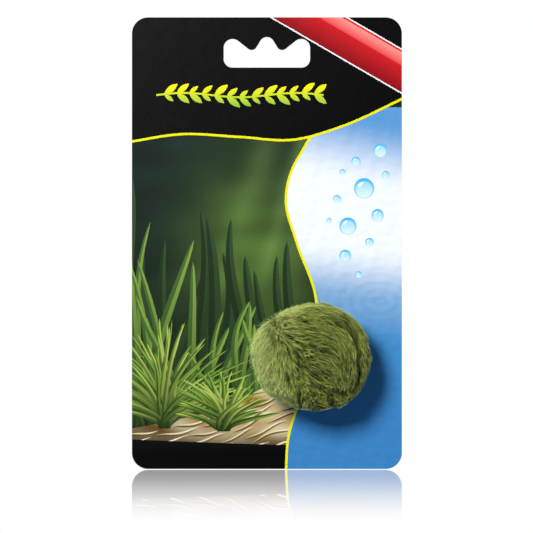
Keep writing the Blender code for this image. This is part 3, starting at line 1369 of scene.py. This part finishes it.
@dataclass
class MossCover:
    """The plush cover: a knitted ground cloth and the combed pile that grows from it.

    Lengths are in millimetres. Ways are unit directions from the ball's centre, one row each.
    """

    seed: int = 2
    cloth_radius: float = 18.35
    cloth_wall: float = 0.3
    cloth_rows: int = 72
    cloth_columns: int = 144
    pleats: int = 18
    pleat_depth: float = 0.12
    pleat_reach: float = 0.5
    pile_depth: float = 2.2
    mouth_radius: float = 1.5
    card_gap: float = 0.15
    solid_pile: float = 0.6
    surface_reach: float = math.radians(3.5)

    # How far down from the viewer's right the pile's tips point, in degrees: on the crown and the middle,
    # on the right side, and on the lower left, where they lean back to the left.
    middle_fall: float = 20
    right_fall: float = 84
    left_fall: float = 105

    # Where the combing turns down, as shares of the ball's radius right and left of its middle, and how
    # much later the turn comes on the way up to the crown.
    right_turn: Pair = (0.1, 0.7)
    right_slant: float = 0.4
    left_turn: Pair = (0.0, 0.85)
    left_slant: float = 0.6

    # How far the combing comes forward over the crown and goes back under the ball, as a slope.
    roll: float = 0.3

    # Where the pile is brushed up, as shares of the radius left of the middle: where that starts and is
    # full, how much sooner it comes on the way up, and how far slow waves of so many radii move it.
    brushed_turn: Pair = (-0.05, 0.6)
    brushed_slant: float = 0.1
    brushed_waves: Pair = (0.15, 0.9)

    # How far a root strays from the spiral, as a share of the roots' spacing, how far it stands clear of the
    # cloth, as a share of the pile's depth, and the height above the cloth at which a lock's length is
    # measured.
    root_scatter: float = 0.6
    root_clear: float = 0.05
    lay_height: float = 2

    # A lock's stray angle and its length, as shares of its layer's.
    stray: Factor = Factor(0.7, 0.2, 2.5)
    length: Factor = Factor(1.4, -0.3, -0.5)
    length_varies: Pair = (0.7, 1.25)

    # The slow turn that neighbouring locks share, in radians, and the distance over which it changes.
    shared_turn: float = 0.16
    shared_reach: float = 7

    # How much wider brushing opens a lock at its root, and how much more at its tip.
    opened: Pair = (0.4, 1.2)

    # How flat a lock is, and how far a fibre slips along it, as a share of its length.
    flatness: float = 0.55
    slip: float = 0.14

    # How far a parting lowers the pile, and how far painted shade darkens it there.
    parting_drop: float = 0.4
    parting_shade: float = 0.6

    # How much a fibre's tone strays from its lock's, and the painted highlight that the highest locks gain
    # over the lowest where the pile is ruffled, less the painted shade that all of them get there.
    fibre_tone: float = 0.06
    ruffled_highlight: float = 0.55
    ruffled_shade: float = 0.18

    # How far the tips show out of the pile's painted shade: the painted light on the highest, what the lowest
    # lose, and the shares of a lower layer's painted shade and of the roots' that brushing takes away, which
    # paints the brushed-up left side lighter.
    top_light: Factor = Factor(0.86, 0.11)
    low_shade: Factor = Factor(0.42, -0.37, 0.4)
    brushed_layer_light: float = 0.8
    brushed_root_light: float = 0.45

    # Where the pile parts and shows its depth: each line's two ends and its half width, right of and above
    # the ball's middle, as the front shows them.
    partings: tuple[tuple[float, float, float, float, float], ...] = (
        (13.0, 13.2, 15.3, 8.7, 1.1), (15.3, 8.7, 17.4, 3.3, 0.8), (17.4, 3.3, 18.0, -7.0, 0.6),
        (18.0, -7.0, 17.3, -10.2, 0.6), (17.3, -10.2, 14.8, -13.6, 0.6), (0.0, 4.2, 1.0, 3.8, 0.8),
        (-3.2, 4.6, -2.8, 3.4, 0.6), (6.0, 7.7, 7.1, 6.9, 0.5), (9.2, 12.5, 10.2, 12.1, 0.7),
        (-3.8, 13.9, -1.9, 13.5, 0.5), (-5.4, 2.4, -4.4, -3.2, 0.9), (-15.4, 8.6, -13.8, 4.0, 0.7),
        (-10.0, -5.8, -7.8, -11.2, 0.6), (6.8, -13.2, 7.6, -18.0, 1.3), (8.4, -12.6, 12.0, -14.2, 1.1),
        (0.6, -5.7, 3.1, -7.9, 0.6), (0.5, -10.9, 3.7, -11.9, 0.6), (-5.0, -14.0, -4.0, -18.5, 0.8),
    )

    # Where the pile differs, seen from the front: the place right of and above the ball's middle, the half
    # width, how far it is ruffled, and the painted light it gets, painted shade where that is below 0.
    places: tuple[tuple[float, float, float, float, float], ...] = (
        (-5.0, 0.5, 2.5, 1.0, 0.0), (3.0, -16.0, 6.5, 1.0, 0.2), (11.0, -15.5, 5.0, 1.0, 0.14),
        (-14.0, 8.5, 7.5, 0.0, -0.16), (-4.0, 4.0, 7.0, 0.0, -0.12), (18.0, -5.0, 8.0, 0.0, 0.16),
        (-3.0, -14.0, 5.0, 0.0, 0.14),
    )

    # Where the pile stands higher than its solid: degrees right of the front and above the middle, the half
    # width in degrees, and the height.
    swells: tuple[tuple[float, float, float, float], ...] = (
        (-88, 7, 10, 1.3), (-80, -40, 18, 0.8), (88, -2, 6, 0.5),
    )

    def __post_init__(self) -> None:
        """Read the ball's place and surface from its solid."""
        core_low, core_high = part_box("lattice_core")
        self.centre = np.array((core_low + core_high) / 2)
        self.card_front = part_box("card")[0].y
        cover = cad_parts["moss_cover"].data
        co = np.empty(len(cover.vertices) * 3)
        cover.vertices.foreach_get("co", co)
        offset = np.unique(co.reshape(-1, 3).round(6), axis=0) - self.centre
        reach = np.linalg.norm(offset, axis=1)
        outer = reach > (self.cloth_radius + self.solid_pile) * MM
        self.surface_ways = offset[outer] / reach[outer, None]
        self.surface_radii = reach[outer]

    def surface(self, ways: Array) -> Array:
        """The pile's outer radius.

        It is the mean radius of the solid's outer points, each weighted by a bell curve of its angle, and a
        bell curve more at each swell.

        Args:
            ways: Unit directions.

        Returns:
            The radius at each, in metres.
        """
        radii = []
        # A few thousand ways at a time keep the table of angles small.
        for part in np.array_split(ways, max(1, len(ways) // 3000)):
            angle2 = 2 - 2 * np.clip(part @ self.surface_ways.T, -1, 1)
            weight = np.exp(-angle2 / self.surface_reach**2) + 1e-12
            radii.append(weight @ self.surface_radii / weight.sum(1))
        radius = np.concatenate(radii)
        for place in self.swells:
            across, above, half_width = np.radians(place[:3])
            front = [np.sin(across) * np.cos(above), -np.cos(across) * np.cos(above), np.sin(above)]
            angle = np.arccos(np.clip(ways @ front, -1, 1))
            radius += place[3] * MM * np.exp(-((angle / half_width) ** 2))
        return radius

    def comb(self, ways: Array) -> Array:
        """The way the pile lies.

        Its tips point to the right and a little down on the crown and the middle. They turn down on the
        right, the later the nearer the crown, and down and back below a line that slants across the lower
        left. The heading that this gives in the card's plane is laid on the sphere.

        Args:
            ways: Unit directions.

        Returns:
            The unit direction of the pile at each, along the ball.
        """
        right, up = ways[..., 0], ways[..., 2]
        on_right = ease(right - self.right_slant * np.maximum(up, 0), *self.right_turn)
        on_left = ease(-right - self.left_slant * up, *self.left_turn)
        fall = self.middle_fall + (self.right_fall - self.middle_fall) * on_right
        fall = np.radians(fall + (self.left_fall - self.middle_fall) * on_left)
        heading = np.stack([np.cos(fall), -self.roll * up, -np.sin(fall)], -1)
        return unit(heading - ways * (heading * ways).sum(-1, keepdims=True))

    def turned(self, ways: Array, lay: Array, angle: Array) -> Array:
        """The lay turned on the sphere by an angle at each direction."""
        side = np.cross(ways, lay)
        return np.cos(angle)[..., None] * lay + np.sin(angle)[..., None] * side

    def parted(self, ways: Array, radii: Array) -> Array:
        """How far the pile opens: a bell curve of the distance to a parting.

        Args:
            ways: Unit directions.
            radii: The surface's radius at each, in metres.

        Returns:
            A share from 0 to 1 at each.
        """
        spot = ways[:, [0, 2]] * radii[:, None] / MM
        share = np.zeros(len(ways))
        for x, z, end_x, end_z, half_width in self.partings:
            start, run = np.array([x, z]), np.array([end_x - x, end_z - z])
            along = np.clip((spot - start) @ run / (run @ run), 0, 1)
            away = np.linalg.norm(spot - start - along[:, None] * run, axis=1)
            share = np.maximum(share, np.exp(-((away / half_width) ** 2)))
        return share * (ways[:, 1] < 0)

    def differences(self, ways: Array) -> tuple[Array, Array]:
        """How the pile differs from place to place: bell curves of the distance, seen from the front.

        Args:
            ways: Unit directions.

        Returns:
            How far the pile is ruffled at each, from 0 to 1, and the painted light it gets, painted shade
            where below 0.
        """
        spot = ways[:, [0, 2]] * (self.cloth_radius + self.pile_depth)
        ruffled, painted_lightness = np.zeros((2, len(ways)))
        for x, z, half_width, ruffle, painted_change in self.places:
            bell = np.exp(-((spot - (x, z)) ** 2).sum(-1) / half_width**2) * (ways[:, 1] < 0)
            ruffled = np.maximum(ruffled, ruffle * bell)
            painted_lightness += painted_change * bell
        return ruffled, painted_lightness

    def brushed(self, ways: Array) -> Array:
        """How far the pile is brushed up and its locks opened: not on the right, and fully on the left.

        Args:
            ways: Unit directions.

        Returns:
            A share from 0 to 1 at each.
        """
        reach, wavelength = self.brushed_waves
        leftwards = -ways[..., 0] + self.brushed_slant * ways[..., 2] + reach * waves(ways, wavelength, 41)
        return ease(leftwards, *self.brushed_turn)

    def lock_paths(self, layer: PileLayer, chance: np.random.Generator) -> tuple[Array, Array]:
        """Lead each lock's middle line over the ball, along the combing.

        The roots lie on a golden-angle spiral with some scatter. Each step goes an even share of the length
        along the combing, turned by the lock's own stray angle and by a slow noise that neighbours share.
        The pile is shorter and less orderly on the viewer's left, where it has been brushed up.

        Args:
            layer: The layer's measures.
            chance: The source of chance.

        Returns:
            The directions of each lock's points, root first, and the lock's heading at each.
        """
        number = np.arange(layer.locks)
        height = 1 - (2 * number + 1) / layer.locks
        turn = number * math.pi * (3 - math.sqrt(5)) + chance.uniform(0, math.tau)
        ring = np.sqrt(1 - height**2)
        spot = np.stack([ring * np.cos(turn), ring * np.sin(turn), height], -1)
        spot = unit(spot + chance.normal(size=spot.shape) * self.root_scatter / math.sqrt(layer.locks))
        brushed, (ruffled, _) = self.brushed(spot), self.differences(spot)
        stray = np.radians(chance.normal(0, layer.stray, layer.locks)) * self.stray.at(brushed, ruffled)
        varied = chance.uniform(*self.length_varies, layer.locks)
        length = layer.length * self.length.at(brushed, ruffled) * varied
        step = length / layer.rings / (self.cloth_radius + self.lay_height)
        spots, headings = [], []
        for _ in range(layer.rings + 1):
            shared = self.shared_turn * waves(spot * self.cloth_radius, self.shared_reach, 31)
            way = self.turned(spot, self.comb(spot), stray + shared)
            spots.append(spot)
            headings.append(way)
            spot = unit(spot + way * step[:, None])
        return np.stack(spots, 1), np.stack(headings, 1)

    def strand_lines(
        self, layer: PileLayer, chance: np.random.Generator
    ) -> tuple[Array, Array, Array, Array, Array]:
        """Lead every fibre of a layer beside its lock's middle line.

        The radius rises from the cloth to the pile's surface as a quarter sine of the share of the length.
        A fibre keeps its own place across the lock, which narrows from root to tip.

        Args:
            layer: The layer's measures.
            chance: The source of chance.

        Returns:
            The points of each fibre, its sideways and outward directions there, its tone, and for each
            point how far out of the pile's painted shade it shows, from 0 at the root to 1 at the tip.
        """
        ways, headings = self.lock_paths(layer, chance)
        count, strands, bends = layer.locks, layer.strands, layer.rings + 1
        sides = np.cross(ways, headings)
        share = np.linspace(0, 1, bends)
        brushed = self.brushed(ways[:, 0])
        rise = np.sin(share * math.pi / 2)
        rise[0] = self.root_clear
        cloth = self.cloth_radius * MM
        outer = self.surface(ways.reshape(-1, 3)).reshape(count, bends)
        parted = self.parted(ways.reshape(-1, 3), outer.ravel()).reshape(count, bends)
        ruffled, painted_lightness = self.differences(ways[:, bends // 2])

        low, high = layer.level
        height = chance.uniform(0, 1, count)
        level = low + (high - low) * height + layer.lift * brushed
        level *= 1 - self.parting_drop * parted[:, bends // 2]
        radius = cloth + (outer - cloth) * rise * level[:, None]
        at_root, at_tip = self.opened
        spread = np.interp(share, [0, 0.5, 1], layer.spread) * MM
        spread = spread * (1 + (at_root + at_tip * share) * brushed[:, None])
        angle = chance.uniform(0, math.tau, (count, strands))
        reach = np.sqrt(chance.uniform(0, 1, (count, strands)))
        across = (reach * np.cos(angle))[..., None] * spread[:, None]
        outward = (reach * np.sin(angle))[..., None] * spread[:, None] * self.flatness
        slips = chance.uniform(-self.slip, self.slip, (count, strands))[..., None]
        slip = slips * layer.length * MM * share
        point = (
            ways[:, None] * (radius[:, None] + outward)[..., None]
            + sides[:, None] * across[..., None]
            + headings[:, None] * slip[..., None]
        )
        side = np.broadcast_to(sides[:, None], point.shape)
        out = np.broadcast_to(ways[:, None], point.shape)

        low, high = layer.tone
        lock_tone = (low + high) / 2 + (high - low) * chance.uniform(-0.5, 0.5, count) * (1 - 0.5 * brushed)
        # Painted light and shade by place, and a painted highlight on the highest ruffled locks over painted
        # shade on all of them there.
        lock_tone += painted_lightness + ruffled * (self.ruffled_highlight * height - self.ruffled_shade)
        own_tone = chance.uniform(-self.fibre_tone, self.fibre_tone, count * strands)
        tone = np.clip(np.repeat(lock_tone, strands) + own_tone, 0, 1)
        # Painted depth shade: deeper layers, lower locks, partings and roots are drawn darker, less so where
        # the pile is brushed up.
        lit = layer.lit + (1 - layer.lit) * self.brushed_layer_light * brushed
        lit *= self.top_light.at(brushed) * (1 - (1 - height) * self.low_shade.at(brushed, ruffled))
        root_shade = (1 - share) * (1 - self.brushed_root_light * brushed[:, None])
        painted_depth_light = lit[:, None] * (1 - self.parting_shade * parted) * (1 - root_shade)

        flat = (count * strands, bends, 3)
        lines = self.centre + point.reshape(flat)
        return lines, side.reshape(flat), out.reshape(flat), tone, np.repeat(painted_depth_light, strands, axis=0)

    def grow(self, pile: Pile, finish: Material) -> Object:
        """Make a layer's fibres: closed three-sided spindles of a few rings and a tip.

        Args:
            pile: Which layer.
            finish: The pile's material.

        Returns:
            The layer as one mesh.
        """
        layer = LAYERS[pile]
        chance = np.random.default_rng([self.seed, list(Pile).index(pile)])
        line, side, out, tone, painted_depth_light = self.strand_lines(layer, chance)
        line[..., 1] = np.minimum(line[..., 1], self.card_front - self.card_gap * MM)
        count, rings = len(line), layer.rings
        angle = np.radians([90, 210, 330])
        radius = np.linspace(*layer.thick, rings) / 2 * MM
        turn = chance.uniform(0, math.tau, count)[:, None, None]
        ring = (
            np.cos(angle + turn)[..., None] * side[:, :rings, None]
            + np.sin(angle + turn)[..., None] * out[:, :rings, None]
        )
        around = line[:, :rings, None] + ring * radius[None, :, None, None]
        points = np.concatenate([around.reshape(count, 3 * rings, 3), line[:, rings:]], 1).reshape(-1, 3)
        top = 3 * rings - 3
        band = [
            (r + k, r + (k + 1) % 3, r + 3 + (k + 1) % 3, r + 3 + k)
            for r in range(0, top, 3)
            for k in range(3)
        ]
        tips = [(top + k, top + (k + 1) % 3, top + 3) for k in range(3)]
        template = np.concatenate([np.ravel(band), np.ravel(tips), [2, 1, 0]])
        sizes = np.tile(np.repeat([4, 3], [len(band), len(tips) + 1]), count)
        corners = (template[None] + (3 * rings + 1) * np.arange(count)[:, None]).ravel()
        made = new_piece(pile.value, points, corners, sizes, [finish], "moss_plush")
        ring_of_point = np.append(np.repeat(np.arange(rings), 3), rings)
        chart = np.stack([np.repeat(tone, len(template)), painted_depth_light[:, ring_of_point[template]].ravel()], -1)
        made.data.uv_layers.new(name="strand").data.foreach_set("uv", chart.astype(np.float32).ravel())
        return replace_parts(made, "moss_cover")

    def cloth(self) -> Object:
        """Make the ground cloth: a ball with a drawn-in mouth at the back, given its wall inwards.

        The angle from the front runs down one side of the grid and the turn about the depth axis along the
        other. Pleats, a cosine of the turn, grow towards the mouth.

        Returns:
            The cloth, which stands for the cover's solid.
        """
        last = math.pi - self.mouth_radius / self.cloth_radius
        polar = np.linspace(0, last, self.cloth_rows)[1:, None]
        turn = np.linspace(0, math.tau, self.cloth_columns, endpoint=False)[None, :]
        drawn_in = ease(polar, last - self.pleat_reach, last)
        radius = (self.cloth_radius + self.pleat_depth * np.cos(self.pleats * turn) * drawn_in) * MM
        x = radius * np.sin(polar) * np.cos(turn)
        y = -radius * np.cos(polar) * np.ones_like(turn)
        z = radius * np.sin(polar) * np.sin(turn)
        grid = np.stack([x, y, z], -1).reshape(-1, 3)
        points = np.concatenate([grid, [[0, -self.cloth_radius * MM, 0]]]) + self.centre
        faces = turned_faces(self.cloth_rows - 1, self.cloth_columns, 1)
        made = new_piece("moss_ground_cloth", points, *faces, [KnitBacking().material()], "moss_plush")
        wall = made.modifiers.new("cloth_wall", "SOLIDIFY")
        wall.thickness = self.cloth_wall * MM
        wall.offset = -1
        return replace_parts(made, "moss_cover")

    def build(self) -> list[Object]:
        """Make the cloth and every layer of the pile.

        Returns:
            The pieces, from the cloth outwards.
        """
        combed = AcrylicPile().material()
        # The fuzz's paler colours are partly painted light: the glow of the loose fibres round the rim.
        fuzz = AcrylicPile(
            name="loose_acrylic_fuzz",
            root="#47532A",
            shade="#6C7A3C",
            middle="#A3B066",
            tip="#C6D288",
            painted_highlight="#CDD6A2",
            warm="#C3CB94",
        ).material()
        return [self.cloth(), *(self.grow(pile, fuzz if pile is Pile.FUZZ else combed) for pile in Pile)]


@dataclass
class Studio:
    """The camera, the table, the room's light and the lamps. Lengths are in metres."""

    view_width: float = 0.1975
    distance: float = 2.0
    sensor: float = 36.0
    near: float = 0.05
    far: float = 20.0
    aim: Pair = (-0.00015, -0.0850)
    table_half: float = 1.5
    table_gap: float = 0.0002
    fill: str = "#CDE0FF"
    ambient: float = 0.08
    lamps_point_at: Triple = (0.016, -0.021, -0.118)

    # Each lamp's name, where it hangs, its width and height, and the light it gives where it points, where
    # 1 makes a white surface that faces it pure white.
    lamps: tuple[tuple[str, Triple, Pair, float], ...] = (
        ("key", (-0.37, -1.25, 0.32), (0.30, 0.32), 1.31),
        ("left_strip", (-1.1, 0.07, -0.11), (0.12, 0.1), 0.84),
        ("right_strip", (1.1, 0.07, -0.05), (0.12, 0.4), 0.95),
        ("back", (0.55, 1.35, 0.45), (0.8, 0.6), 0.72),
        ("top_strip", (0.1, 0.07, 1.0), (0.5, 0.12), 0.42),
    )

    def put(self, name: str, data: Any) -> Object:
        """Put a mesh, a light or a camera into the scene.

        Args:
            name: The new object's name.
            data: What it shows.

        Returns:
            The object.
        """
        made = bpy.data.objects.new(name, data)
        bpy.context.scene.collection.objects.link(made)
        return made

    def camera(self) -> None:
        """Set a long lens square to the card, so that the card's plane has the photograph's scale."""
        lens = bpy.data.cameras.new("camera")
        lens.sensor_width = self.sensor
        lens.lens = self.sensor * self.distance / self.view_width
        lens.clip_start, lens.clip_end = self.near, self.far
        seen = self.put("camera", lens)
        seen.location = (self.aim[0], -self.distance, self.aim[1])
        seen.rotation_euler = (math.pi / 2, 0, 0)
        bpy.context.scene.camera = seen

    def table(self) -> None:
        """Lay the light table just under the card's foot."""
        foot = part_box("card")[0].z - self.table_gap
        half = self.table_half
        spots = [(-half, -half, foot), (half, -half, foot), (half, half, foot), (-half, half, foot)]
        mesh = bpy.data.meshes.new("table")
        mesh.from_pydata(spots, [], [(0, 1, 2, 3)])
        mesh.materials.append(LightTable().material())
        self.put("table", mesh)

    def lamp(self, name: str, place: Triple, size: Pair, light_on_target: float) -> None:
        """Hang a rectangular soft lamp. Its power is its light times the square of pi times its distance.

        Args:
            name: The lamp's name.
            place: Where it hangs.
            size: Its width and height.
            light_on_target: The light it gives where it points.
        """
        light = bpy.data.lights.new(name, "AREA")
        light.shape = "RECTANGLE"
        light.size, light.size_y = size
        way = Vector(self.lamps_point_at) - Vector(place)
        light.energy = light_on_target * (math.pi * way.length) ** 2
        lamp = self.put(name, light)
        lamp.location = place
        lamp.rotation_mode = "QUATERNION"
        lamp.rotation_quaternion = way.to_track_quat("-Z", "Y")
        lamp.visible_camera = False

    def room(self) -> None:
        """Show plain white behind the object, and light it from all round with much less."""
        world = bpy.data.worlds.new("white_room")
        world.use_nodes = True
        tree = world.node_tree
        colour, _ = white_to_the_eye(tree, self.fill, self.ambient)
        set_inputs(tree, tree.nodes["Background"], {"Color": colour, "Strength": 1.0})
        bpy.context.scene.world = world
        bpy.context.scene.view_settings.view_transform = "Standard"

    def build(self) -> None:
        """Set the whole studio."""
        self.camera()
        self.table()
        self.room()
        for lamp in self.lamps:
            self.lamp(*lamp)


def main() -> None:
    """Build every sub-assembly in order."""
    logging.basicConfig(level=logging.INFO, format="%(name)s: %(message)s")
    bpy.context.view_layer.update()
    for assembly in (DisplayCard, GlueSpot, LatticeCore, MossCover, Studio):
        assembly().build()


if __name__ == "__main__":
    main()
